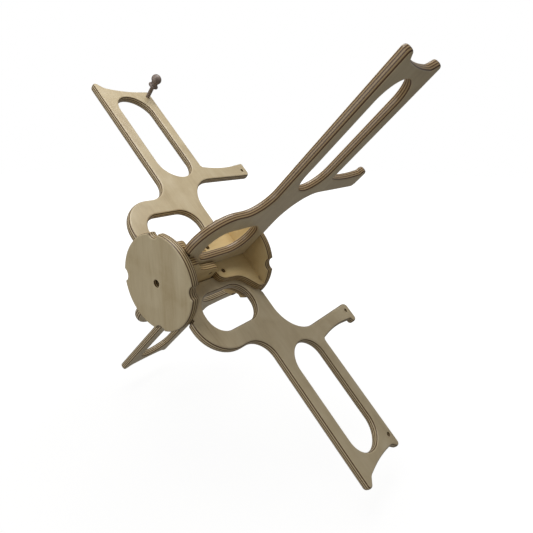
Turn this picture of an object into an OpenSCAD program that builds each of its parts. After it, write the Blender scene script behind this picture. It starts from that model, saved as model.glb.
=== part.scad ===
// Skein winder: two notched plywood discs, four plywood arms that plug in between
// them, and one turned peg. X is right, Y runs along the axle towards the back and Z
// is up. The origin is the mouth of the axle hole in the front disc.
// An arm is drawn flat: x is the distance behind the front face, y the distance from
// the axle, and it is then stood up on the axle and turned to its own angle.

/* [Plywood] */
// Thickness of every board
ply = 12; // [11:0.5:13]
// Slack on each side of an arm in its socket
slip = 0.1; // [0.05:0.05:0.3]

/* [Discs] */
// Diameter of a disc
disc_d = 124; // [120:1:130]
// Clear width between the two discs
hub_gap = 133; // [130:0.5:135]
// Diameter of the axle hole
axle_d = 10; // [6:0.5:12]
// Notches in the rim of a disc
notches = 4; // [0:1:4]
// Radius of a rim notch
notch_r = 8.7; // [7:0.1:12]
// Depth of a rim notch
notch_depth = 5.7; // [3:0.1:6.5]

/* [Cheek plates] */
// Half the width of a cheek plate at its disc
foot_half = 59.5; // [56:0.5:60]
// Half the width of a cheek plate at its free corners
free_half = 29.8; // [28:0.1:32]
// Depth of the groove that holds a cheek plate
groove_depth = 5; // [3:0.5:7]
// Half the length of that groove
groove_half = 49; // [44:0.5:51]
// Diameter of the cutter relief at each end of a tongue
relief_d = 6; // [4:0.5:8]
// Diameter of the dowels where two cheek plates cross
dowel_d = 6; // [4:0.5:8]
// Length of those dowels
dowel_l = 16; // [10:1:20]

/* [Locking holes] */
// Diameter of a hole for a peg
hole_d = 6.4; // [5:0.1:7]
// Distance of a locking hole from the axle
lock_r = 19.5; // [18:0.5:20]
// Distance of a locking hole from the middle of the hub
lock_y = 12.5; // [11:0.5:16]

/* [Arms] */
// Distance from the axle to the tip of a horn
arm_reach = 348; // [346:0.5:350]
// Front edge of the long bar of an arm
bar_front = 99.4; // [98:0.1:102]
// Back edge of that bar
bar_back = 202.6; // [201:0.1:205]
// Width of the long slot
slot_w = 62; // [50:1:70]
// Near end of the long slot
slot_near = 153.8; // [150:0.1:160]
// Distance from the axle to the middle of the outer yarn rest
rest_r = 337; // [335:0.5:338]
// Far end of the branch that carries the small skein
branch_end = 307; // [302:0.5:315]
// Distance from the axle to the branch
branch_r = 142.4; // [138:0.1:146]
// Distance from the axle to the middle of the inner yarn rest
inner_rest_r = 166; // [161:0.5:167]

/* [Peg] */
// Diameter of the ball of the peg
ball_d = 16; // [12:0.5:18]
// Height of the middle of the ball above the board
ball_h = 36; // [34:0.5:44]
// Diameter of the collar of the peg
collar_d = 15.8; // [12:0.1:17]
// Slack all round the peg in its hole
peg_play = 0.06; // [0.02:0.02:0.1]

/* [Hidden] */
$fn = 96;

birch = "#cdbb98";
birch_pale = "#d9c8a6";
dowel_wood = "#c9a777";
dark_wood = "#6b5f57";

// Finer circles for the long curves of the rests
long_curve = 100;
long_curve_fn = 720;
// Overlap that makes two shapes join or cut cleanly
lap = 0.3;

front_in = ply;
back_in = ply + hub_gap;
hub_len = back_in + ply;
mid = hub_len / 2;
cheek_len = hub_gap / 2;
cheek_in = ply / 2 + slip;
cheek_out = cheek_in + ply;
seat_r = cheek_out + slip;
tab_r = axle_d / 2 + 2;

// Angles of the four arms round the axle, seen from the front
upper_right = 45;
upper_left = 135;
lower_left = 225;
lower_right = 315;

// Corners of a cheek plate: round shoulder at the foot, hollow, round free corner
shoulder = [foot_half, 8.2, 8.8];
hollow = [34.6, 28.5, 30];
free_corner = [free_half, cheek_len, 12.5];

// Outline of an arm beside the hub
rim_gap = 0.5;
shoulder_r = disc_d / 2 + rim_gap;
front_shoulder = front_in - 3.5;
back_shoulder = back_in + 3.5;
shoulder_corner = 3.55;
root_corner = 4;
lobe_r = 48.1;
lobe_top = 118.4;
front_fillet = 32.8;
back_fillet = 51;
window = [33, 37.8, 123, 92.7];
window_corner = 26;

// Outline of an arm at the outer rest: a shallow curve between two ramps up to the horns
slot_c = (bar_front + bar_back) / 2;
slot_far = 322.2;
horn_r = 5;
horn_w = 7.2;
horn_inner_r = 4.4;
rest_half = 34.8;
rest_blend = 11;
rest_curve = 205;
rest_slope = 7;
rest_low = rest_r - rest_curve * (1 / cos(rest_slope) - 1);
rest_edge = rest_low + rest_half * tan(rest_slope);
release_corner = 4;
horn_hole = [192.5, 327.5];

// Outline of the branch and its lip
tip_corner = 8.5;
lip_top = 177;
lip_r = 6;
lip_w = 11.7;
lip_inner_r = 4.8;
lip_ramp = 2;
lip_foot_r = 3;
inner_curve = 220;
inner_slope = 8;
inner_mid = 248;
inner_low = inner_rest_r - inner_curve * (1 / cos(inner_slope) - 1);
bar_corner = 5;
branch_hole = [294, 154.7];

// The turned peg
stem_r = hole_d / 2 - peg_play;
neck_r = 5.3;
collar_low = 21.3;
collar_h = 4.1;
flare_h = 1.2;
flare_w = 1.6;

function flat(c) = [c[0], c[1]];
function unit(v) = v / norm(v);

// One rounded corner: [points of the chamfer, which way it turns, centre, radius, strip
// that holds the arc]
function rounding(c, i) =
    let (n = len(c), p = flat(c[i]), r = c[i][2],
         a = unit(flat(c[(i + n - 1) % n]) - p), b = unit(flat(c[(i + 1) % n]) - p))
    r == 0 ? [[p], 0] :
    let (half = acos(a * b) / 2, along = r / tan(half), inward = unit(a + b),
         first = p + a * along, last = p + b * along, far = along * cos(half),
         side = unit(last - first) * lap)
    [[first, last], sign(cross(-a, b)), p + inward * r / sin(half), r,
     [first - side + inward * lap, first - side - inward * far,
      last + side - inward * far, last + side + inward * lap]];

module arc_piece(k)
    intersection() {
        translate(k[2]) circle(k[3], $fn = k[3] > long_curve ? long_curve_fn : $fn);
        polygon(k[4]);
    }

// A flat outline from its corners [x, y, radius], anticlockwise, rounded by true arcs
module outline(corners) {
    all = [for (i = [0:1:len(corners) - 1]) rounding(corners, i)];
    difference() {
        union() {
            polygon([for (k = all) each k[0]]);
            for (k = all) if (k[1] > 0) arc_piece(k);
        }
        for (k = all) if (k[1] < 0) arc_piece(k);
    }
}

// Turns a flat outline (x along the axle, y away from it) into a board at one angle
module stand(angle, offset = 0)
    rotate([0, -angle, 0])
        translate([0, 0, offset])
            multmatrix([[0, 1, 0, 0], [1, 0, 0, 0], [0, 0, 1, 0]])
                translate([0, 0, -ply / 2]) linear_extrude(ply) children();

module box2(x0, y0, x1, y1) translate([x0, y0]) square([x1 - x0, y1 - y0]);

module disc_solid(y0, groove_angle, groove_y)
    difference() {
        translate([0, y0, 0]) rotate([-90, 0, 0]) cylinder(d = disc_d, h = ply, $fn = 180);
        translate([0, y0 - lap, 0]) rotate([-90, 0, 0])
            cylinder(d = axle_d, h = ply + 2 * lap);
        for (k = [0:1:notches - 1])
            rotate([0, k * 90, 0])
                translate([disc_d / 2 - notch_depth + notch_r, y0 - lap, 0])
                    rotate([-90, 0, 0]) cylinder(r = notch_r, h = ply + 2 * lap);
        for (side = [-1, 1])
            rotate([0, -groove_angle, 0])
                translate([-groove_half, groove_y, side * (cheek_in + ply / 2) - ply / 2])
                    cube([2 * groove_half, groove_depth, ply]);
    }

module front_disc() color(birch) disc_solid(0, upper_right, front_in - groove_depth);

module back_disc() color(birch) disc_solid(back_in, upper_left, back_in);

// A cheek plate flat: x is the distance from the axle, y the distance from its disc
module cheek_outline() {
    right = [[foot_half, 0, 0], shoulder, hollow, free_corner];
    left = [for (i = [3:-1:0]) [-right[i][0], right[i][1], right[i][2]]];
    difference() {
        union() {
            outline(concat(right, left));
            box2(-groove_half, -groove_depth, groove_half, lap);
        }
        for (side = [-1, 1]) {
            translate([side * lock_r, cheek_len - lock_y]) circle(d = hole_d);
            translate([side * groove_half, 0]) circle(d = relief_d);
        }
    }
}

// A cheek plate with the sockets of its two dowels; from_back turns it round
module cheek_plate(angle, side, from_back)
    difference() {
        stand(angle, side * (cheek_in + ply / 2))
            translate([from_back ? back_in : front_in, 0])
                rotate(from_back ? 90 : -90) mirror([from_back ? 0 : 1, 0]) cheek_outline();
        dowel_set();
    }

// Four dowels across the middle of the hub, one where each pair of plates crosses
module dowel_set()
    for (a = [upper_right, upper_left, lower_left, lower_right])
        rotate([0, -a, 0])
            translate([cheek_in + ply / 2, mid - dowel_l / 2, cheek_in + ply / 2])
                rotate([-90, 0, 0]) cylinder(d = dowel_d, h = dowel_l);

module front_cheek_left() color(birch_pale) cheek_plate(upper_right, 1, false);

module front_cheek_right() color(birch_pale) cheek_plate(upper_right, -1, false);

module back_cheek_upper() color(birch_pale) cheek_plate(upper_left, -1, true);

module back_cheek_lower() color(birch_pale) cheek_plate(upper_left, 1, true);

module hub_dowels() color(dowel_wood) dowel_set();

// Foot of an arm, which stands in the hub; the front pair has its tab in front
function arm_root(front_pair) =
    let (x0 = front_in + slip, x1 = back_in - slip,
         step = mid + (front_pair ? -3 : 3) * slip)
    concat([[x0, front_pair ? tab_r : seat_r, root_corner]],
           front_pair ? [[step, tab_r, root_corner], [step, seat_r, 0]]
                      : [[step, seat_r, 0], [step, tab_r, root_corner]],
           [[x1, front_pair ? seat_r : tab_r, root_corner], [x1, shoulder_r, 0],
            [back_shoulder, shoulder_r, shoulder_corner]]);

// The branch and its yarn rest; the release arm has no lip to lift the skein over
function arm_branch(release) =
    let (rest_end = branch_end - (release ? 0 : lip_w + lip_ramp),
         rest_end_r = inner_low + (rest_end - inner_mid) * tan(inner_slope))
    concat([[back_shoulder, branch_r, back_fillet], [branch_end, branch_r, tip_corner]],
           release ? [[rest_end, rest_end_r, release_corner]]
                   : [[branch_end, lip_top, lip_r],
                      [branch_end - lip_w, lip_top, lip_inner_r],
                      [rest_end, rest_end_r, lip_foot_r]],
           [[inner_mid, inner_low, inner_curve],
            [bar_back, inner_low + (inner_mid - bar_back) * tan(inner_slope), bar_corner]]);

// The outer rest with a horn at each end, or only at the front on the release arm
function arm_end(release) =
    concat(release ? [[bar_back, rest_low + (bar_back - slot_c) * tan(rest_slope),
                       release_corner]]
                   : [[bar_back, arm_reach, horn_r],
                      [bar_back - horn_w, arm_reach, horn_inner_r],
                      [slot_c + rest_half, rest_edge, rest_blend]],
           [[slot_c, rest_low, rest_curve], [slot_c - rest_half, rest_edge, rest_blend],
            [bar_front + horn_w, arm_reach, horn_inner_r],
            [bar_front, arm_reach, horn_r]]);

// The rounded lobe in front of the bar
arm_lobe = [[bar_front, lobe_top, front_fillet], [front_shoulder, lobe_top, lobe_r],
            [front_shoulder, shoulder_r, shoulder_corner],
            [front_in + slip, shoulder_r, 0]];

module arm_outline(front_pair, release)
    difference() {
        outline(concat(arm_root(front_pair), arm_branch(release), arm_end(release),
                       arm_lobe));
        outline([[window[0], window[1], window_corner], [window[2], window[1], window_corner],
                 [window[2], window[3], window_corner],
                 [window[0], window[3], window_corner]]);
        box2(slot_c - slot_w / 2, slot_near + slot_w / 2,
             slot_c + slot_w / 2, slot_far - slot_w / 2);
        for (y = [slot_near + slot_w / 2, slot_far - slot_w / 2])
            translate([slot_c, y]) circle(d = slot_w, $fn = 160);
        // Only the back pair shows holes for pegs beside its yarn rests
        if (!front_pair)
            for (place = [horn_hole, branch_hole]) translate(place) circle(d = hole_d);
        translate([front_pair ? mid - lock_y : mid + lock_y, lock_r]) circle(d = hole_d);
    }

module arm_upper_right() color(birch) stand(upper_right) arm_outline(true, false);

module arm_upper_left() color(birch) stand(upper_left) arm_outline(false, true);

module arm_lower_left() color(birch) stand(lower_left) arm_outline(true, false);

module arm_lower_right() color(birch) stand(lower_right) arm_outline(false, false);

// Turned peg along +Z, standing on the board at z = 0 with its shank below
module peg_solid() {
    translate([0, 0, -ply]) cylinder(r = stem_r, h = ply + ball_h);
    translate([0, 0, collar_low - flare_h])
        cylinder(r1 = stem_r, r2 = stem_r + flare_w, h = flare_h + lap);
    rotate_extrude() {
        box2(0, collar_low, collar_d / 2 - collar_h / 2, collar_low + collar_h);
        translate([collar_d / 2 - collar_h / 2, collar_low + collar_h / 2])
            circle(d = collar_h);
    }
    translate([0, 0, collar_low + collar_h / 2])
        cylinder(r = neck_r, h = ball_h - ball_d / 4 - collar_low - collar_h / 2);
    translate([0, 0, ball_h]) sphere(d = ball_d);
}

module yarn_peg()
    color(dark_wood)
        rotate([0, -upper_left, 0])
            translate([horn_hole[1], horn_hole[0], -ply / 2]) rotate([180, 0, 0]) peg_solid();

front_disc();
back_disc();
front_cheek_left();
front_cheek_right();
back_cheek_upper();
back_cheek_lower();
hub_dowels();
arm_upper_right();
arm_upper_left();
arm_lower_left();
arm_lower_right();
yarn_peg();
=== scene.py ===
import math

import bmesh
import bpy
from mathutils import Matrix, Vector


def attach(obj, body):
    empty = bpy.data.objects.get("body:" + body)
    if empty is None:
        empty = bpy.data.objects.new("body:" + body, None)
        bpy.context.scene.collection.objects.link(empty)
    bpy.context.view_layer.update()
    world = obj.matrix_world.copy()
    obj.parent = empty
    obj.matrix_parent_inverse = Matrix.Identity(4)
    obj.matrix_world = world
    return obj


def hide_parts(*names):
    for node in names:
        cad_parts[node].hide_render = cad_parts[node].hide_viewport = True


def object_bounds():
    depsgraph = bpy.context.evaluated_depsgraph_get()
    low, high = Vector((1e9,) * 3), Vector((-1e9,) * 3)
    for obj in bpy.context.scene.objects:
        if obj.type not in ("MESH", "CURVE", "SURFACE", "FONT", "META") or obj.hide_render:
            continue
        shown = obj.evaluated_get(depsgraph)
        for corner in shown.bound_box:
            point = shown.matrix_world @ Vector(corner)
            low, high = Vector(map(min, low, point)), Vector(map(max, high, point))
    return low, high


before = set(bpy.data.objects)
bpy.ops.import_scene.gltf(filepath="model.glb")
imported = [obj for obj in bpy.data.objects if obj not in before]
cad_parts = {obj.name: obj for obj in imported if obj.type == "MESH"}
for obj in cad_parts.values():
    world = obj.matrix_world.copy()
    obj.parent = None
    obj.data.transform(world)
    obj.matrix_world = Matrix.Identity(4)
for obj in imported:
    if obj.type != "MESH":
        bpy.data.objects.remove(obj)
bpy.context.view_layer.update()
mm = 0.001
print("frame loaded")

# Sizes in millimetres: an arm's are measured along the axle from the front disc, and away from the axle

hub = {
    "ply": 12.0, "backDisc": 145.0, "discRadius": 62.0, "notchRadius": 8.7, "notchDepth": 5.7,
    "axleRadius": 5.0, "discRound": 2.4, "discNose": 4.6, "holeRound": 0.5, "notches": 4,
    "notchSteps": 14, "rimSteps": 26, "axleSteps": 40,
}
cheek = {
    "offset": 12.1, "sink": 5.6, "footHalf": 59.5, "shoulder": (59.5, 8.2, 8.8),
    "hollow": (34.6, 28.5, 30.0), "freeCorner": (29.8, 66.5, 12.5), "reliefX": 49.0, "reliefRadius": 3.0,
    "lockX": 19.5, "lockY": 54.0, "round": 1.6, "nose": 2.8,
}
arm = {
    "tab": 7.0, "seat": 18.2, "near": 12.1, "far": 144.9, "middle": 78.5, "tabGap": 0.3,
    "rim": 62.5, "frontShoulder": 8.5, "backShoulder": 148.5, "rootCorner": 4.0, "shoulderCorner": 3.55,
    "lobeRadius": 48.1, "lobeTop": 118.4, "frontFillet": 32.8, "barFront": 99.4, "barBack": 202.6,
    "reach": 348.0, "hornRadius": 5.0, "hornWidth": 7.2, "hornInner": 4.4,
    "rest": 337.0, "restHalf": 34.8, "restBlend": 11.0, "restCurve": 205.0, "restSlope": 7.0,
    "branchRadius": 142.4, "backFillet": 51.0, "branchEnd": 307.0, "tipCorner": 8.5,
    "lipTop": 177.0, "lipRadius": 6.0, "lipWidth": 11.7, "lipInner": 4.8, "lipRamp": 2.0, "lipFoot": 3.0,
    "innerRest": 166.0, "innerCurve": 220.0, "innerSlope": 8.0, "innerMiddle": 248.0,
    "barCorner": 5.0, "releaseCorner": 4.0, "window": (33.0, 37.8, 123.0, 92.7), "windowCorner": 26.0,
    "slotWidth": 62.0, "slotNear": 153.8, "slotFar": 322.2, "hornHole": (192.5, 327.5),
    "branchHole": (294.0, 154.7), "lockRadius": 19.5, "lockOffset": 12.5, "pegHole": 3.2,
    "round": 2.9, "nose": 5.2,
}
peg = {
    "ball": 8.0, "ballHeight": 36.0, "collar": 7.9, "collarLow": 21.3, "collarHigh": 25.4,
    "neck": 5.3, "neckStep": (0.3, 0.2), "stem": 3.14, "chamfer": 0.5, "flareHeight": 1.2,
    "flareWidth": 1.6, "shank": 11.9, "beadSteps": 12, "ballSteps": 24, "sides": 48, "sharpAngle": 40.0,
}
angles = {"upper_right": 45, "upper_left": 135, "lower_left": 225, "lower_right": 315}
arcStep = 5.0   # most degrees between two points on a rounded corner
arcLength = 5.0   # and the most millimetres
straight = 89.7   # half the angle, in degrees, of a corner too blunt to round
shortest = 1e-4   # and the shortest step of an outline, in millimetres
boreSteps = 24   # points round a bore
nosePoints = 11   # points on each quarter of a rounded edge
fullRound = 0.999   # the round ends of the arm's slot, as a share of half its width
slack = 0.04   # how much thinner than its solid a board is drawn
weld = 0.02   # points closer than this become one
tiny = 1e-6


# Outlines: closed polygons whose corners are rounded

def roundedPath(corners):
    path = []
    for i, (x, y, radius) in enumerate(corners):
        here = Vector((x, y))
        before = (Vector(corners[i - 1][:2]) - here).normalized()
        after = (Vector(corners[(i + 1) % len(corners)][:2]) - here).normalized()
        half = before.angle(after) / 2
        if radius <= 0 or half > math.radians(straight):
            path.append(here)
            continue
        along = radius / math.tan(half)
        centre = here + (before + after).normalized() * radius / math.sin(half)
        first = (here + before * along) - centre
        last = (here + after * along) - centre
        start = math.atan2(first.y, first.x)
        turn = (math.atan2(last.y, last.x) - start + math.pi) % (2 * math.pi) - math.pi
        byAngle = math.ceil(abs(math.degrees(turn)) / arcStep)
        byLength = math.ceil(abs(turn) * radius / arcLength)
        steps = max(2, byAngle, byLength)
        for k in range(steps + 1):
            a = start + turn * k / steps
            path.append(centre + radius * Vector((math.cos(a), math.sin(a))))
    return [p for i, p in enumerate(path) if (p - path[i - 1]).length > shortest]


def circlePath(x, y, radius, steps=boreSteps):
    turns = [2 * math.pi * k / steps for k in range(steps)]
    return [Vector((x + radius * math.cos(a), y + radius * math.sin(a))) for a in turns]


def signedArea(path):
    return sum(p.cross(q) for p, q in zip(path, path[1:] + path[:1])) / 2


def turned(path, counterClockwise):
    return path if (signedArea(path) > 0) == counterClockwise else path[::-1]


def discOutline():
    rim, notch = hub["discRadius"], hub["notchRadius"]
    centre = rim - hub["notchDepth"] + notch
    meet = math.acos((rim ** 2 + centre ** 2 - notch ** 2) / (2 * rim * centre))
    edge = math.atan2(rim * math.sin(meet), rim * math.cos(meet) - centre)
    path = []
    for quarter in range(hub["notches"]):
        spin = Matrix.Rotation(quarter * math.pi / 2, 2)
        for k in range(hub["notchSteps"] + 1):
            a = -edge - (2 * math.pi - 2 * edge) * k / hub["notchSteps"]
            path.append(spin @ Vector((centre + notch * math.cos(a), notch * math.sin(a))))
        for k in range(1, hub["rimSteps"]):
            a = meet + (math.pi / 2 - 2 * meet) * k / hub["rimSteps"]
            path.append(spin @ Vector((rim * math.cos(a), rim * math.sin(a))))
    return path


def cheekOutline():
    foot = (cheek["footHalf"], -cheek["sink"], 0)
    right = [foot, cheek["shoulder"], cheek["hollow"], cheek["freeCorner"]]
    return roundedPath(right + [(-x, y, r) for x, y, r in right[::-1]])


def restValues(middle, curve, slope):
    # a shallow rest is one wide rounded corner between two straight lines
    low = middle - curve * (1 / math.cos(math.radians(slope)) - 1)
    return low, math.tan(math.radians(slope))


def armOutline(frontPair, release):
    middle = (arm["barFront"] + arm["barBack"]) / 2
    corner = arm["rootCorner"]
    if frontPair:
        step = arm["middle"] - arm["tabGap"]
        path = [(arm["near"], arm["tab"], corner), (step, arm["tab"], corner), (step, arm["seat"], 0),
                (arm["far"], arm["seat"], corner)]
    else:
        step = arm["middle"] + arm["tabGap"]
        path = [(arm["near"], arm["seat"], corner), (step, arm["seat"], 0), (step, arm["tab"], corner),
                (arm["far"], arm["tab"], corner)]
    path += [(arm["far"], arm["rim"], 0), (arm["backShoulder"], arm["rim"], arm["shoulderCorner"]),
             (arm["backShoulder"], arm["branchRadius"], arm["backFillet"]),
             (arm["branchEnd"], arm["branchRadius"], arm["tipCorner"])]
    low, rise = restValues(arm["innerRest"], arm["innerCurve"], arm["innerSlope"])
    last = arm["branchEnd"] - (0 if release else arm["lipWidth"] + arm["lipRamp"])
    lastHeight = low + (last - arm["innerMiddle"]) * rise
    if release:
        path.append((last, lastHeight, arm["releaseCorner"]))
    else:
        path += [(arm["branchEnd"], arm["lipTop"], arm["lipRadius"]),
                 (arm["branchEnd"] - arm["lipWidth"], arm["lipTop"], arm["lipInner"]),
                 (last, lastHeight, arm["lipFoot"])]
    path += [(arm["innerMiddle"], low, arm["innerCurve"]),
             (arm["barBack"], low + (arm["innerMiddle"] - arm["barBack"]) * rise, arm["barCorner"])]
    low, rise = restValues(arm["rest"], arm["restCurve"], arm["restSlope"])
    edge = low + arm["restHalf"] * rise
    if release:
        path.append((arm["barBack"], low + (arm["barBack"] - middle) * rise, arm["releaseCorner"]))
    else:
        path += [(arm["barBack"], arm["reach"], arm["hornRadius"]),
                 (arm["barBack"] - arm["hornWidth"], arm["reach"], arm["hornInner"]),
                 (middle + arm["restHalf"], edge, arm["restBlend"])]
    path += [(middle, low, arm["restCurve"]), (middle - arm["restHalf"], edge, arm["restBlend"]),
             (arm["barFront"] + arm["hornWidth"], arm["reach"], arm["hornInner"]),
             (arm["barFront"], arm["reach"], arm["hornRadius"]),
             (arm["barFront"], arm["lobeTop"], arm["frontFillet"]),
             (arm["frontShoulder"], arm["lobeTop"], arm["lobeRadius"]),
             (arm["frontShoulder"], arm["rim"], arm["shoulderCorner"]), (arm["near"], arm["rim"], 0)]
    return roundedPath(path)


def armWindows():
    left, low, right, high = arm["window"]
    corner = arm["windowCorner"]
    middle = (arm["barFront"] + arm["barBack"]) / 2
    half = arm["slotWidth"] / 2
    end = half * fullRound
    window = roundedPath([(left, low, corner), (right, low, corner), (right, high, corner),
                          (left, high, corner)])
    slot = roundedPath([(middle - half, arm["slotNear"], end), (middle + half, arm["slotNear"], end),
                        (middle + half, arm["slotFar"], end), (middle - half, arm["slotFar"], end)])
    return [window, slot]


# Materials

def linearColour(hexText):
    parts = [int(hexText[i:i + 2], 16) / 255 for i in (1, 3, 5)]
    return tuple(v / 12.92 if v <= 0.04045 else ((v + 0.055) / 1.055) ** 2.4 for v in parts) + (1,)


def addNode(tree, kind, settings=None, values=None, links=None):
    node = tree.nodes.new(kind)
    for key, value in (settings or {}).items():
        setattr(node, key, value)
    for key, value in (values or {}).items():
        node.inputs[key].default_value = value
    for key, source in (links or {}).items():
        tree.links.new(source, node.inputs[key])
    return node


def noiseFactor(node):
    return node.outputs[0]


def setRamp(node, stops):
    ramp = node.color_ramp
    while len(ramp.elements) > 1:
        ramp.elements.remove(ramp.elements[0])
    ramp.elements[0].position, ramp.elements[0].color = stops[0][0], linearColour(stops[0][1])
    for place, colour in stops[1:]:
        ramp.elements.new(place).color = linearColour(colour)


def birchPly(name, looks):
    # birch plywood, sanded and oiled: nine crossed veneers, cut edges rounded over by a router
    material = bpy.data.materials.new(name)
    material.use_nodes = True
    tree = material.node_tree
    tree.nodes.clear()
    place = addNode(tree, "ShaderNodeAttribute", {"attribute_name": "boardPlace"})
    split = addNode(tree, "ShaderNodeSeparateXYZ", links={0: place.outputs["Vector"]})
    # depth through the board, with the slight waver of a real veneer
    waver = addNode(tree, "ShaderNodeTexNoise", values={"Scale": grain["waver"], "Detail": 1.0},
                    links={"Vector": place.outputs["Vector"]})
    waverSize = addNode(tree, "ShaderNodeMath", {"operation": "MULTIPLY_ADD"},
                        {1: 2 * veneer["waver"] * mm, 2: -veneer["waver"] * mm}, {0: noiseFactor(waver)})
    depth = addNode(tree, "ShaderNodeMath", {"operation": "ADD"},
                    links={0: split.outputs["Z"], 1: waverSize.outputs[0]})
    through = addNode(tree, "ShaderNodeMath", {"operation": "MULTIPLY_ADD"},
                      {1: 1 / (hub["ply"] * mm), 2: 0.5}, {0: depth.outputs[0]})
    veneers = addNode(tree, "ShaderNodeValToRGB", links={0: through.outputs[0]})
    layers = [veneer["face"]] + [veneer["dark"], veneer["pale"]] * 3 + [veneer["dark"], veneer["face"]]
    soft = veneer["glue"] / hub["ply"]
    stops = []
    start = 0.0
    for k, layer in enumerate(layers):
        tone = looks["dark"] if k % 2 else looks["pale"]
        end = start + layer / hub["ply"]
        stops += [(start + soft * (k > 0), tone), (end - soft * (k < len(layers) - 1), tone)]
        start = end
    setRamp(veneers, stops)
    # the grained face veneer takes over close to the two faces
    faceDepth = addNode(tree, "ShaderNodeMath", {"operation": "ABSOLUTE"}, links={0: depth.outputs[0]})
    faceStart = (hub["ply"] / 2 - veneer["face"]) * mm
    faceShare = addNode(tree, "ShaderNodeMapRange", {"interpolation_type": "SMOOTHSTEP"},
                        {"From Min": faceStart - veneer["fadeIn"] * mm,
                         "From Max": faceStart + veneer["fadeOut"] * mm},
                        {"Value": faceDepth.outputs[0]})
    # grain: long irregular streaks along the board's own y over soft cloudy figure
    stretch = addNode(tree, "ShaderNodeMapping", values={"Scale": (1.0, looks["stretch"], 1.0)},
                      links={"Vector": place.outputs["Vector"]})
    broad = addNode(tree, "ShaderNodeTexNoise",
                    values={"Scale": grain["broad"], "Detail": 5.0, "Roughness": 0.6, "Distortion": 0.8},
                    links={"Vector": stretch.outputs[0]})
    fine = addNode(tree, "ShaderNodeTexNoise",
                   values={"Scale": grain["fine"], "Detail": 3.0, "Roughness": 0.6},
                   links={"Vector": stretch.outputs[0]})
    cloud = addNode(tree, "ShaderNodeTexNoise",
                    values={"Scale": grain["cloud"], "Detail": 4.0, "Roughness": 0.6, "Distortion": 0.5},
                    links={"Vector": place.outputs["Vector"]})
    mixGrain = addNode(tree, "ShaderNodeMix", values={0: grain["fineShare"]},
                       links={2: noiseFactor(broad), 3: noiseFactor(fine)})
    mixAll = addNode(tree, "ShaderNodeMix", values={0: looks["cloud"]},
                     links={2: mixGrain.outputs[0], 3: noiseFactor(cloud)})
    faceTone = addNode(tree, "ShaderNodeValToRGB", links={0: mixAll.outputs[0]})
    tones = (looks["faceDark"], looks["face"], looks["facePale"])
    setRamp(faceTone, list(zip(grain["stops"], tones)))
    surface = addNode(tree, "ShaderNodeMix", {"data_type": "RGBA"},
                      links={0: faceShare.outputs[0], 6: veneers.outputs[0], 7: faceTone.outputs[0]})
    bump = addNode(tree, "ShaderNodeBump",
                   values={"Strength": grain["bump"], "Distance": grain["bumpDepth"] * mm},
                   links={"Height": noiseFactor(broad)})
    rough = addNode(tree, "ShaderNodeMapRange",
                    values={"From Min": grain["stops"][0], "From Max": grain["stops"][2],
                            "To Min": looks["rough"] - grain["smoother"],
                            "To Max": looks["rough"] + grain["rougher"]},
                    links={"Value": mixAll.outputs[0]})
    shader = addNode(tree, "ShaderNodeBsdfPrincipled", values={"IOR": 1.5},
                     links={"Base Color": surface.outputs[2], "Roughness": rough.outputs[0],
                            "Normal": bump.outputs[0]})
    addNode(tree, "ShaderNodeOutputMaterial", links={"Surface": shader.outputs[0]})
    return material


def turnedWood(name, looks):
    # lathe-turned wood, lightly polished: fine streaks of tone
    material = bpy.data.materials.new(name)
    material.use_nodes = True
    tree = material.node_tree
    tree.nodes.clear()
    place = addNode(tree, "ShaderNodeTexCoord")
    turn = (0, math.radians(latheGrain["angle"]), 0)
    stretch = addNode(tree, "ShaderNodeMapping", values={"Rotation": turn, "Scale": latheGrain["stretch"]},
                      links={"Vector": place.outputs["Object"]})
    streaks = addNode(tree, "ShaderNodeTexNoise",
                      values={"Scale": latheGrain["scale"], "Detail": 4.0, "Roughness": 0.6},
                      links={"Vector": stretch.outputs[0]})
    tone = addNode(tree, "ShaderNodeValToRGB", links={0: noiseFactor(streaks)})
    tones = (looks["dark"], looks["middle"], looks["pale"])
    setRamp(tone, list(zip(latheGrain["stops"], tones)))
    bump = addNode(tree, "ShaderNodeBump",
                   values={"Strength": latheGrain["bump"], "Distance": latheGrain["bumpDepth"] * mm},
                   links={"Height": noiseFactor(streaks)})
    shader = addNode(tree, "ShaderNodeBsdfPrincipled", values={"Roughness": looks["rough"], "IOR": 1.5},
                     links={"Base Color": tone.outputs[0], "Normal": bump.outputs[0]})
    addNode(tree, "ShaderNodeOutputMaterial", links={"Surface": shader.outputs[0]})
    return material


# thicknesses in millimetres, then how softly the face veneer's grain starts and ends
veneer = {
    "face": 0.9, "dark": 1.35, "pale": 1.6, "glue": 0.15, "waver": 0.08,
    "fadeIn": 0.1, "fadeOut": 0.15,
}
grain = {
    "waver": 22.0, "broad": 60.0, "fine": 520.0, "cloud": 24.0, "fineShare": 0.3,
    "stops": (0.3, 0.5, 0.7), "bump": 0.06, "bumpDepth": 0.1, "smoother": 0.05, "rougher": 0.07,
}
# the streaks run along z: the turn comes after the stretch and only picks another part of the pattern
latheGrain = {
    "stretch": (1, 1, 0.12), "angle": 45.0, "scale": 420.0, "stops": (0.3, 0.52, 0.74), "bump": 0.2,
    "bumpDepth": 0.1,
}
armLooks = {
    "face": "#cfbd99", "facePale": "#dccdad", "faceDark": "#bca884", "pale": "#d6c29b", "dark": "#553b26",
    "rough": 0.31, "stretch": 0.1, "cloud": 0.5,
}
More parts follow.
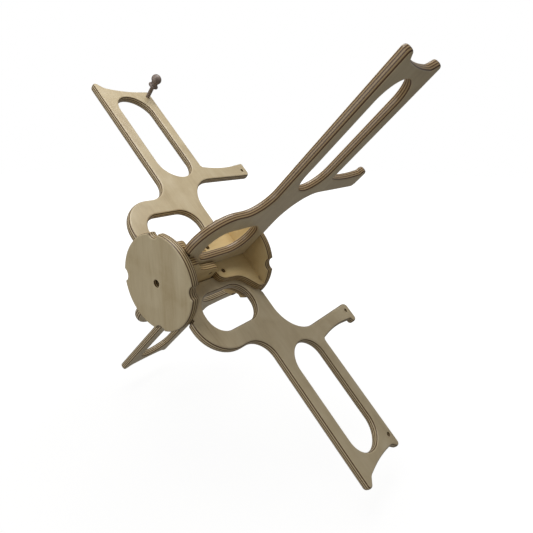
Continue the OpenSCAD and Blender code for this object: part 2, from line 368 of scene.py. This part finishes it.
# the veneers of the upper right arm are painted darker and browner than the others': painted shade on that
# arm's edges
shadedArmLooks = {**armLooks, "pale": "#b0976f", "dark": "#5c3f29"}
hubLooks = {
    "face": "#c8b793", "facePale": "#d6c7a5", "faceDark": "#b29d74", "pale": "#c6b187", "dark": "#5b412a",
    "rough": 0.42, "stretch": 0.06, "cloud": 0.35,
}
# a lighter, warmer copy of the hub's plywood for the back disc and cheek plates: painted light standing in
# for warm light bounced between them
bounceLitLooks = {
    "face": "#dac08b", "facePale": "#e5cf9f", "faceDark": "#c5a871", "pale": "#bfa574", "dark": "#6a4d2c",
    "rough": 0.42, "stretch": 0.08, "cloud": 0.45,
}
pegLooks = {"middle": "#85766d", "dark": "#6a5c53", "pale": "#9c8d83", "rough": 0.35}
dowelLooks = {"middle": "#c9a777", "dark": "#b08d5f", "pale": "#d8ba8c", "rough": 0.6}
armPly = birchPly("armBirchPly", armLooks)
shadedArmPly = birchPly("shadedArmBirchPly", shadedArmLooks)
hubPly = birchPly("hubBirchPly", hubLooks)
bounceLitPly = birchPly("bounceLitBirchPly", bounceLitLooks)
pegWood = turnedWood("pegHardwood", pegLooks)
dowelWood = turnedWood("dowelBirch", dowelLooks)
print("materials made")


# Geometry nodes: a board whose edge is rounded over all round

def addSocket(tree, name, way, kind="NodeSocketFloat"):
    return tree.interface.new_socket(name=name, in_out=way, socket_type=kind)


def makeEdgeTree():
    # sweeps the rounded edge along an outline and gives the outline of the flat face left inside it
    tree = bpy.data.node_groups.new("roundedEdge", "GeometryNodeTree")
    addSocket(tree, "Outline", "INPUT", "NodeSocketGeometry")
    for name in ("Thickness", "Roundover", "Nose"):
        addSocket(tree, name, "INPUT")
    addSocket(tree, "Edge", "OUTPUT", "NodeSocketGeometry")
    addSocket(tree, "Face outline", "OUTPUT", "NodeSocketGeometry")
    given = addNode(tree, "NodeGroupInput")
    half = addNode(tree, "ShaderNodeMath", {"operation": "MULTIPLY"}, {1: 0.5},
                   {0: given.outputs["Thickness"]})
    flat = addNode(tree, "ShaderNodeMath", {"operation": "SUBTRACT"},
                   links={0: half.outputs[0], 1: given.outputs["Nose"]})
    back = addNode(tree, "ShaderNodeMath", {"operation": "MULTIPLY"}, {1: -1.0},
                   {0: given.outputs["Roundover"]})
    low = addNode(tree, "ShaderNodeMath", {"operation": "MULTIPLY"}, {1: -1.0}, {0: flat.outputs[0]})
    profile = addNode(tree, "GeometryNodeJoinGeometry")
    size = addNode(tree, "ShaderNodeCombineXYZ", values={"Z": 1.0},
                   links={"X": given.outputs["Roundover"], "Y": given.outputs["Nose"]})
    for side, start in ((flat, 0.0), (low, -90.0)):
        arc = addNode(tree, "GeometryNodeCurveArc", {"mode": "RADIUS"},
                      {"Resolution": nosePoints, "Radius": 1.0, "Start Angle": math.radians(start),
                       "Sweep Angle": math.radians(90)})
        where = addNode(tree, "ShaderNodeCombineXYZ", links={"X": back.outputs[0], "Y": side.outputs[0]})
        moved = addNode(tree, "GeometryNodeTransform",
                        links={"Geometry": arc.outputs[0], "Scale": size.outputs[0],
                               "Translation": where.outputs[0]})
        tree.links.new(moved.outputs[0], profile.inputs[0])
    top = addNode(tree, "ShaderNodeCombineXYZ", links={"Y": flat.outputs[0]})
    bottom = addNode(tree, "ShaderNodeCombineXYZ", links={"Y": low.outputs[0]})
    straight = addNode(tree, "GeometryNodeCurvePrimitiveLine", {"mode": "POINTS"},
                       links={"Start": top.outputs[0], "End": bottom.outputs[0]})
    tree.links.new(straight.outputs[0], profile.inputs[0])
    swept = addNode(tree, "GeometryNodeCurveToMesh",
                    links={"Curve": given.outputs["Outline"], "Profile Curve": profile.outputs[0]})
    smooth = addNode(tree, "GeometryNodeSetShadeSmooth", links={"Geometry": swept.outputs[0]})
    normal = addNode(tree, "GeometryNodeInputNormal")
    inward = addNode(tree, "ShaderNodeVectorMath", {"operation": "SCALE"},
                     links={0: normal.outputs[0], "Scale": back.outputs[0]})
    inset = addNode(tree, "GeometryNodeSetPosition",
                    links={"Geometry": given.outputs["Outline"], "Offset": inward.outputs[0]})
    addNode(tree, "NodeGroupOutput", links={0: smooth.outputs[0], 1: inset.outputs[0]})
    return tree


def makeBoardTree(edgeTree):
    tree = bpy.data.node_groups.new("roundedBoard", "GeometryNodeTree")
    addSocket(tree, "Outline", "INPUT", "NodeSocketGeometry")
    for name in ("Thickness", "Roundover", "Nose", "Hole roundover"):
        addSocket(tree, name, "INPUT")
    addSocket(tree, "Pattern shift", "INPUT", "NodeSocketVector")
    addSocket(tree, "Holes", "INPUT", "NodeSocketObject")
    addSocket(tree, "Wood", "INPUT", "NodeSocketMaterial")
    addSocket(tree, "Board", "OUTPUT", "NodeSocketGeometry")
    given = addNode(tree, "NodeGroupInput")
    holes = addNode(tree, "GeometryNodeObjectInfo", links={"Object": given.outputs["Holes"]})
    rim = addNode(tree, "GeometryNodeGroup", {"node_tree": edgeTree},
                  links={"Outline": given.outputs["Outline"], "Thickness": given.outputs["Thickness"],
                         "Roundover": given.outputs["Roundover"], "Nose": given.outputs["Nose"]})
    bore = addNode(tree, "GeometryNodeGroup", {"node_tree": edgeTree},
                   links={"Outline": holes.outputs["Geometry"], "Thickness": given.outputs["Thickness"],
                          "Roundover": given.outputs["Hole roundover"],
                          "Nose": given.outputs["Hole roundover"]})
    outlines = addNode(tree, "GeometryNodeJoinGeometry", links={0: bore.outputs["Face outline"]})
    tree.links.new(rim.outputs["Face outline"], outlines.inputs[0])
    face = addNode(tree, "GeometryNodeFillCurve", links={0: outlines.outputs[0]})
    half = addNode(tree, "ShaderNodeMath", {"operation": "MULTIPLY"}, {1: 0.5},
                   {0: given.outputs["Thickness"]})
    low = addNode(tree, "ShaderNodeMath", {"operation": "MULTIPLY"}, {1: -1.0}, {0: half.outputs[0]})
    whole = addNode(tree, "GeometryNodeJoinGeometry", links={0: rim.outputs["Edge"]})
    tree.links.new(bore.outputs["Edge"], whole.inputs[0])
    for side, flip in ((half, False), (low, True)):
        where = addNode(tree, "ShaderNodeCombineXYZ", links={"Z": side.outputs[0]})
        sheet = addNode(tree, "GeometryNodeTransform",
                        links={"Geometry": face.outputs[0], "Translation": where.outputs[0]})
        if flip:
            sheet = addNode(tree, "GeometryNodeFlipFaces", links={0: sheet.outputs[0]})
        flatShade = addNode(tree, "GeometryNodeSetShadeSmooth", values={"Shade Smooth": False},
                            links={"Geometry": sheet.outputs[0]})
        tree.links.new(flatShade.outputs[0], whole.inputs[0])
    welded = addNode(tree, "GeometryNodeMergeByDistance", values={"Distance": weld * mm},
                     links={"Geometry": whole.outputs[0]})
    position = addNode(tree, "GeometryNodeInputPosition")
    shifted = addNode(tree, "ShaderNodeVectorMath", {"operation": "ADD"},
                      links={0: position.outputs[0], 1: given.outputs["Pattern shift"]})
    stored = addNode(tree, "GeometryNodeStoreNamedAttribute",
                     {"data_type": "FLOAT_VECTOR", "domain": "POINT"}, {"Name": "boardPlace"},
                     {"Geometry": welded.outputs[0], "Value": shifted.outputs[0]})
    real = addNode(tree, "GeometryNodeRealizeInstances", links={0: stored.outputs[0]})
    wood = addNode(tree, "GeometryNodeSetMaterial",
                   links={"Geometry": real.outputs[0], "Material": given.outputs["Wood"]})
    addNode(tree, "NodeGroupOutput", links={0: wood.outputs[0]})
    return tree


boardTree = makeBoardTree(makeEdgeTree())


def outlineObject(name, paths):
    curve = bpy.data.curves.new(name, "CURVE")
    curve.dimensions = "3D"
    for path in paths:
        spline = curve.splines.new("POLY")
        spline.points.add(len(path) - 1)
        for point, p in zip(spline.points, path):
            point.co = (p.x * mm, p.y * mm, 0, 1)
        spline.use_cyclic_u = True
    curve.twist_mode = "Z_UP"
    made = bpy.data.objects.new(name, curve)
    bpy.context.scene.collection.objects.link(made)
    return made


def setInput(modifier, name, value):
    for socket in modifier.node_group.interface.items_tree:
        if socket.name == name and socket.in_out == "INPUT":
            modifier[socket.identifier] = value


def board(name, outlines, holes, place, roundover, nose, wood, shift):
    windows = [turned(p, False) for p in outlines[1:]]
    outer = outlineObject(name + "Outline", [turned(outlines[0], True)] + windows)
    inner = outlineObject(name + "Holes", [turned(p, False) for p in holes])
    modifier = outer.modifiers.new("board", "NODES")
    modifier.node_group = boardTree
    setInput(modifier, "Thickness", (hub["ply"] - slack) * mm)
    setInput(modifier, "Roundover", roundover * mm)
    setInput(modifier, "Nose", nose * mm)
    setInput(modifier, "Hole roundover", hub["holeRound"] * mm)
    setInput(modifier, "Pattern shift", shift)
    setInput(modifier, "Holes", inner)
    setInput(modifier, "Wood", wood)
    bpy.context.view_layer.update()
    ready = outer.evaluated_get(bpy.context.evaluated_depsgraph_get())
    mesh = bpy.data.meshes.new_from_object(ready)
    for helper in (outer, inner):
        bpy.data.objects.remove(helper)
    mesh.transform(place)
    work = bmesh.new()
    work.from_mesh(mesh)
    bmesh.ops.dissolve_degenerate(work, dist=tiny, edges=work.edges[:])
    bmesh.ops.recalc_face_normals(work, faces=work.faces[:])
    work.to_mesh(mesh)
    loose = sum(1 for e in work.edges if not e.is_manifold)
    work.free()
    made = bpy.data.objects.new(name, mesh)
    bpy.context.scene.collection.objects.link(made)
    if loose:
        print("open edges on", name, loose)
    return made


def standing(angle):
    # the board's own x runs along the axle and its y away from it
    turn = math.radians(angle)
    out = Vector((math.cos(turn), 0, math.sin(turn)))
    axle = Vector((0, 1, 0))
    return Matrix((axle, out, axle.cross(out))).transposed().to_4x4()


def rideAs(piece, node, body):
    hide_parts(node)
    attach(piece, body)


# Discs

discSets = {
    "front_disc": (0.0, hubPly, (0.31, 0.12, 0)),
    # the back disc takes the lighter, warmer copy: painted bounce light
    "back_disc": (hub["backDisc"], bounceLitPly, (0.77, 0.45, 0)),
}
for node, (start, ply, shift) in discSets.items():
    lying = Matrix(((1, 0, 0), (0, 0, -1), (0, 1, 0))).to_4x4()
    place = Matrix.Translation((0, (start + hub["ply"] / 2) * mm, 0)) @ lying
    axleHole = circlePath(0, 0, hub["axleRadius"], hub["axleSteps"])
    disc = board(node + "_board", [discOutline()], [axleHole], place, hub["discRound"], hub["discNose"],
                 ply, shift)
    rideAs(disc, node, "hub")
print("discs made")

# Cheek plates, two in front and two behind, turned a quarter against each other

cheekSets = {
    "front_cheek_left": (45, 1, False, (0.13, 0.9, 0)),
    "front_cheek_right": (45, -1, False, (0.52, 0.33, 0)),
    "back_cheek_upper": (135, -1, True, (0.91, 0.21, 0)),
    "back_cheek_lower": (135, 1, True, (0.25, 0.66, 0)),
}
for node, (angle, side, fromBack, shift) in cheekSets.items():
    turn = math.radians(angle)
    out = Vector((math.cos(turn), 0, math.sin(turn)))
    inwards = Vector((0, -1 if fromBack else 1, 0))
    normal = Vector((-math.sin(turn), 0, math.cos(turn)))
    third = out.cross(inwards)
    place = Matrix((out, inwards, third)).transposed().to_4x4()
    start = hub["backDisc"] if fromBack else hub["ply"]
    move = normal * side * cheek["offset"] * mm + Vector((0, start * mm, 0))
    holes = [circlePath(x, cheek["lockY"], arm["pegHole"]) for x in (-cheek["lockX"], cheek["lockX"])]
    holes += [circlePath(x, 0, cheek["reliefRadius"]) for x in (-cheek["reliefX"], cheek["reliefX"])]
    # the cheek plates take the lighter, warmer copy: painted bounce light
    plate = board(node + "_board", [cheekOutline()], holes, Matrix.Translation(move) @ place,
                  cheek["round"], cheek["nose"], bounceLitPly, shift)
    rideAs(plate, node, "hub")
print("cheek plates made")

# Arms

armShifts = {"upper_right": (0.0, 0.0, 0), "upper_left": (0.41, 0.7, 0), "lower_left": (0.83, 0.37, 0),
             "lower_right": (0.62, 0.18, 0)}
for name, angle in angles.items():
    frontPair = name in ("upper_right", "lower_left")
    lockAt = arm["middle"] + (-arm["lockOffset"] if frontPair else arm["lockOffset"])
    bores = [(lockAt, arm["lockRadius"])] + ([] if frontPair else [arm["hornHole"], arm["branchHole"]])
    holes = [circlePath(x, y, arm["pegHole"]) for x, y in bores]
    outlines = [armOutline(frontPair, name == "upper_left")] + armWindows()
    # the upper right arm's edges take the darker copy: painted shade
    ply = shadedArmPly if name == "upper_right" else armPly
    piece = board("arm_" + name + "_board", outlines, holes, standing(angle), arm["round"], arm["nose"],
                  ply, armShifts[name])
    rideAs(piece, "arm_" + name, "arm_" + name)
print("arms made")


# The turned peg

def turnedPeg():
    profile = [(0, -peg["shank"]), (peg["stem"] - peg["chamfer"], -peg["shank"]),
               (peg["stem"], -peg["shank"] + peg["chamfer"]),
               (peg["stem"], peg["collarLow"] - peg["flareHeight"]),
               (peg["stem"] + peg["flareWidth"], peg["collarLow"])]
    bead = (peg["collarHigh"] - peg["collarLow"]) / 2
    beadMiddle = (peg["collarHigh"] + peg["collarLow"]) / 2
    for k in range(peg["beadSteps"] + 1):
        a = -math.pi / 2 + math.pi * k / peg["beadSteps"]
        profile.append((peg["collar"] - bead + bead * math.cos(a), beadMiddle + bead * math.sin(a)))
    profile.append((peg["neck"] + peg["neckStep"][0], peg["collarHigh"] + peg["neckStep"][1]))
    joint = math.asin(min(1, peg["neck"] / peg["ball"]))
    for k in range(peg["ballSteps"] + 1):
        a = joint + (math.pi - joint) * k / peg["ballSteps"]
        profile.append((peg["ball"] * math.sin(a), peg["ballHeight"] - peg["ball"] * math.cos(a)))
    work = bmesh.new()
    turns = [2 * math.pi * k / peg["sides"] for k in range(peg["sides"])]
    rings = []
    for radius, height in profile:
        if radius < tiny:
            rings.append([work.verts.new((0, 0, height * mm))])
            continue
        ring = [Vector((radius * math.cos(a), radius * math.sin(a), height)) * mm for a in turns]
        rings.append([work.verts.new(point) for point in ring])
    for low, high in zip(rings, rings[1:]):
        for k in range(peg["sides"]):
            corners = [low[k % len(low)], low[(k + 1) % len(low)],
                       high[(k + 1) % len(high)], high[k % len(high)]]
            kept = [v for i, v in enumerate(corners) if v not in corners[:i]]
            if len(kept) > 2:
                work.faces.new(kept)
    bmesh.ops.remove_doubles(work, verts=work.verts[:], dist=tiny)
    bmesh.ops.recalc_face_normals(work, faces=work.faces[:])
    mesh = bpy.data.meshes.new("yarn_peg_turned")
    work.to_mesh(mesh)
    work.free()
    mesh.polygons.foreach_set("use_smooth", [True] * len(mesh.polygons))
    mesh.set_sharp_from_angle(angle=math.radians(peg["sharpAngle"]))
    mesh.materials.append(pegWood)
    # it stands on the near face of the upper left arm, square to the board
    turn = math.radians(angles["upper_left"])
    out = Vector((math.cos(turn), 0, math.sin(turn)))
    up = Vector((math.sin(turn), 0, -math.cos(turn)))
    axle = Vector((0, 1, 0))
    foot = axle * arm["hornHole"][0] + out * arm["hornHole"][1] + up * hub["ply"] / 2
    place = Matrix.Translation(foot * mm) @ Matrix((axle, up.cross(axle), up)).transposed().to_4x4()
    mesh.transform(place)
    made = bpy.data.objects.new("yarn_peg_turned", mesh)
    bpy.context.scene.collection.objects.link(made)
    return made


rideAs(turnedPeg(), "yarn_peg", "peg")
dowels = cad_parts["hub_dowels"]
dowels.data.materials.clear()
dowels.data.materials.append(dowelWood)
print("peg and dowels made")

# Stage, light and camera

studio = {
    "floor": "#b4b2ae", "whiteNear": 0.78, "whiteLevel": 1.2, "nearRadius": 0.35, "farRadius": 1.0,
    "worldLight": 0.25, "keyPower": 5.3, "keySize": (0.4, 1.0), "keyPlace": (0.0, 0.1, 0.85),
    "keyAim": (0.0, 0.15, 0.0), "fillPower": 4.4, "fillSize": (0.9, 0.9), "fillPlace": (-0.45, -1.2, 0.35),
    "fillAim": (0.0, 0.0, 0.0), "floorDrop": 0.045, "floorReach": 6.0,
}
# the winder turns above the ground: the floor lies below the lower arms even when they are pulled right out
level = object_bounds()[0].z - studio["floorDrop"]
reach = studio["floorReach"]
floorMesh = bpy.data.meshes.new("floor")
floorCorners = [(x * reach, y * reach, level) for x, y in ((-1, -1), (1, -1), (1, 1), (-1, 1))]
floorMesh.from_pydata(floorCorners, [], [(0, 1, 2, 3)])
floor = bpy.data.objects.new("floor", floorMesh)
bpy.context.scene.collection.objects.link(floor)
# a plain matt floor, rolled with pale paint
floorMaterial = bpy.data.materials.new("paleFloor")
floorMaterial.use_nodes = True
floorTree = floorMaterial.node_tree
floorTree.nodes.clear()
paint = addNode(floorTree, "ShaderNodeBsdfDiffuse", values={"Color": linearColour(studio["floor"])})
glow = addNode(floorTree, "ShaderNodeEmission",
               values={"Color": (1, 1, 1, 1), "Strength": studio["whiteLevel"]})
# the camera sees a white sheet that keeps some shadow close to the object and none far away
onFloor = addNode(floorTree, "ShaderNodeTexCoord")
away = addNode(floorTree, "ShaderNodeVectorMath", {"operation": "LENGTH"},
               links={0: onFloor.outputs["Object"]})
whiteness = addNode(floorTree, "ShaderNodeMapRange", {"interpolation_type": "SMOOTHSTEP"},
                    {"From Min": studio["nearRadius"], "From Max": studio["farRadius"],
                     "To Min": studio["whiteNear"]},
                    {"Value": away.outputs["Value"]})
rays = addNode(floorTree, "ShaderNodeLightPath")
share = addNode(floorTree, "ShaderNodeMath", {"operation": "MULTIPLY"},
                links={0: rays.outputs["Is Camera Ray"], 1: whiteness.outputs[0]})
seenFloor = addNode(floorTree, "ShaderNodeMixShader",
                    links={0: share.outputs[0], 1: paint.outputs[0], 2: glow.outputs[0]})
addNode(floorTree, "ShaderNodeOutputMaterial", links={"Surface": seenFloor.outputs[0]})
floorMesh.materials.append(floorMaterial)

world = bpy.data.worlds.new("studio")
world.use_nodes = True
bpy.context.scene.world = world
worldTree = world.node_tree
worldTree.nodes.clear()
soft = addNode(worldTree, "ShaderNodeBackground",
               values={"Color": (1, 1, 1, 1), "Strength": studio["worldLight"]})
white = addNode(worldTree, "ShaderNodeBackground", values={"Color": (1, 1, 1, 1), "Strength": 1.0})
seen = addNode(worldTree, "ShaderNodeLightPath")
mixWorld = addNode(worldTree, "ShaderNodeMixShader",
                   links={0: seen.outputs["Is Camera Ray"], 1: soft.outputs[0], 2: white.outputs[0]})
addNode(worldTree, "ShaderNodeOutputWorld", links={"Surface": mixWorld.outputs[0]})


def areaLight(name, place, target, size, power):
    lamp = bpy.data.lights.new(name, "AREA")
    lamp.shape = "RECTANGLE"
    lamp.size, lamp.size_y = size
    lamp.energy = power
    made = bpy.data.objects.new(name, lamp)
    bpy.context.scene.collection.objects.link(made)
    made.location = place
    made.rotation_euler = (Vector(target) - Vector(place)).to_track_quat("-Z", "Y").to_euler()
    return made


areaLight("key", studio["keyPlace"], studio["keyAim"], studio["keySize"], studio["keyPower"])
areaLight("fill", studio["fillPlace"], studio["fillAim"], studio["fillSize"], studio["fillPower"])

view = {
    "focal": 28.189, "place": (385.83, -305.58, 164.57), "forward": (-0.56302, 0.77463, -0.28803),
    "roll": 0.17,
}
cameraData = bpy.data.cameras.new("camera")
cameraData.sensor_width = 36
cameraData.lens = view["focal"]
cameraData.clip_start = 0.01
camera = bpy.data.objects.new("camera", cameraData)
bpy.context.scene.collection.objects.link(camera)
camera.location = Vector(view["place"]) * mm
aim = Vector(view["forward"]).to_track_quat("-Z", "Y").to_matrix()
camera.rotation_euler = (aim @ Matrix.Rotation(math.radians(view["roll"]), 3, "Z")).to_euler()
bpy.context.scene.camera = camera
bpy.context.scene.view_settings.view_transform = "Standard"
print("stage, light and camera made")
